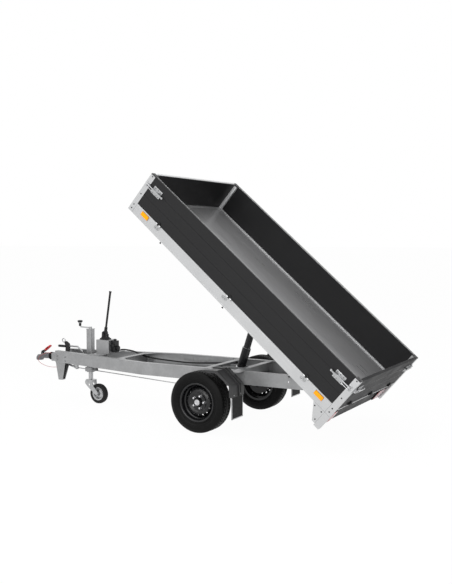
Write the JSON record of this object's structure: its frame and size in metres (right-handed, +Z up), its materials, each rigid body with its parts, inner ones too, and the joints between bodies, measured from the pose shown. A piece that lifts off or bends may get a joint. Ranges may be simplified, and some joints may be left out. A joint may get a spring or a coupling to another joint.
{
  "type": "single axle dump trailer",
  "caption": "Tipping trailer with its load bed raised by a telescopic hydraulic cylinder, drop sides, drawbar with overrun coupling and jockey wheel.",
  "frame": {"origin": "centre of the tow ball in the coupling's socket", "axes": "+X rearwards, +Y to the trailer's right, +Z up"},
  "size_m": [4.0672, 1.606, 2.3286],
  "materials": {
    "galvanised": "hot-dip galvanised steel",
    "black_steel": "black painted steel",
    "black_plastic": "black moulded plastic",
    "rubber": "black rubber",
    "bright_steel": "ground steel",
    "cast": "dark plated casting",
    "red_cable": "plastic coated wire",
    "zinc": "zinc plated steel",
    "tyre": "tyre rubber",
    "black_rim": "black painted wheel",
    "floor": "brushed metal sheet",
    "aluminium": "brushed anodised aluminium",
    "black_board": "satin black coated boards",
    "red_lens": "red lens",
    "amber_lens": "amber reflector"
  },
  "bodies": {
    "chassis": {"drawbar_beams": "galvanised", "cross_beams": "galvanised", "beam_liners": "galvanised", "cylinder_cradle": "galvanised", "hinge_brackets": "galvanised", "axle_tube": "galvanised", "axle_arms": "black_steel", "mudguard_left": "black_plastic", "mudguard_right": "black_plastic", "mudguard_brackets": "galvanised", "mud_flaps": "rubber", "overrun_housing": "galvanised", "coupling_shaft": "bright_steel", "coupling_head": "cast", "coupling_lever": "black_plastic", "bellows": "rubber", "handbrake": "black_steel", "drawbar_foot": "galvanised", "breakaway_cable": "red_cable", "brake_linkage": "zinc", "brake_rod": "zinc", "jack_tube": "galvanised", "jack_clamp": "galvanised", "jack_crank": "zinc", "pump_tank": "galvanised", "hand_pump": "black_steel", "pump_valve": "black_steel", "hydraulic_hose": "rubber"},
    "wheel_left": {"tyre_left": "tyre", "rim_left": "black_rim", "hub_left": "zinc"},
    "wheel_right": {"tyre_right": "tyre", "rim_right": "black_rim", "hub_right": "zinc"},
    "jockey_leg": {"jack_inner_tube": "zinc"},
    "jockey_fork": {"jockey_fork": "zinc"},
    "jockey_wheel": {"jockey_tyre": "rubber", "jockey_rim": "zinc"},
    "cylinder_barrel": {"cylinder_barrel": "black_steel"},
    "cylinder_stage_1": {"cylinder_stage_1": "black_steel"},
    "cylinder_stage_2": {"cylinder_stage_2": "black_steel"},
    "cylinder_rod": {"cylinder_rod": "black_steel"},
    "bed": {"bed_floor": "floor", "bed_members": "galvanised", "bed_bearers": "galvanised", "bed_rails": "aluminium", "corner_posts": "aluminium", "front_board": "black_board", "lamp_panel": "black_board", "rear_lamps": "red_lens", "side_reflectors": "amber_lens", "tie_rings": "zinc", "front_latches": "zinc"},
    "side_board_left": {"side_board_left": "black_board", "latches_left": "zinc"},
    "side_board_right": {"side_board_right": "black_board", "latches_right": "zinc"},
    "tailgate": {"tailgate": "black_board", "tailgate_latches": "zinc"}
  },
  "joints": [
    {"name": "bed_tilt", "type": "hinge", "parent": "chassis", "child": "bed", "pos_m": [3.382, 0, 0.115], "axis": [0, 1, 0], "range_deg": [-40.9, 4.1]},
    {"name": "cylinder_swing", "type": "hinge", "parent": "chassis", "child": "cylinder_barrel", "pos_m": [2.51, 0, 0.02], "axis": [0, 1, 0], "range_deg": [-21, 3]},
    {"name": "stage_1_slide", "type": "slide", "parent": "cylinder_barrel", "child": "cylinder_stage_1", "axis": [0.3109, 0, 0.9504], "range_m": [-0.2, 0.021]},
    {"name": "stage_2_slide", "type": "slide", "parent": "cylinder_stage_1", "child": "cylinder_stage_2", "axis": [0.3109, 0, 0.9504], "range_m": [-0.2, 0.021]},
    {"name": "rod_slide", "type": "slide", "parent": "cylinder_stage_2", "child": "cylinder_rod", "axis": [0.3109, 0, 0.9504], "range_m": [-0.2, 0.021]},
    {"name": "side_board_left_fold", "type": "hinge", "parent": "bed", "child": "side_board_left", "pos_m": [3.82684, -0.789, -0.04807], "axis": [0.7559, 0, -0.6547], "range_deg": [0, 170]},
    {"name": "side_board_right_fold", "type": "hinge", "parent": "bed", "child": "side_board_right", "pos_m": [3.82684, 0.789, -0.04807], "axis": [-0.7559, 0, 0.6547], "range_deg": [0, 170]},
    {"name": "tailgate_fold", "type": "hinge", "parent": "bed", "child": "tailgate", "pos_m": [3.83364, 0, -0.05396], "axis": [0, 1, 0], "range_deg": [0, 170]},
    {"name": "wheel_left_spin", "type": "hinge", "parent": "chassis", "child": "wheel_left", "pos_m": [2.44, -0.598, -0.1525], "axis": [0, 1, 0], "continuous": true},
    {"name": "wheel_right_spin", "type": "hinge", "parent": "chassis", "child": "wheel_right", "pos_m": [2.44, 0.598, -0.1525], "axis": [0, 1, 0], "continuous": true},
    {"name": "jack_slide", "type": "slide", "parent": "chassis", "child": "jockey_leg", "axis": [0, 0, -1], "range_m": [-0.07, 0.1]},
    {"name": "jockey_swivel", "type": "hinge", "parent": "jockey_leg", "child": "jockey_fork", "pos_m": [0.71, 0, -0.18], "axis": [0, 0, 1], "continuous": true},
    {"name": "jockey_spin", "type": "hinge", "parent": "jockey_fork", "child": "jockey_wheel", "pos_m": [0.818, 0, -0.324], "axis": [0, 1, 0], "continuous": true}
  ],
  "couplings": [
    {"joint": "cylinder_swing", "follows": "bed_tilt", "ratio": 0.5},
    {"joint": "stage_1_slide", "follows": "bed_tilt", "m_per_rad": 0.279},
    {"joint": "stage_2_slide", "follows": "bed_tilt", "m_per_rad": 0.279},
    {"joint": "rod_slide", "follows": "bed_tilt", "m_per_rad": 0.279}
  ]
}
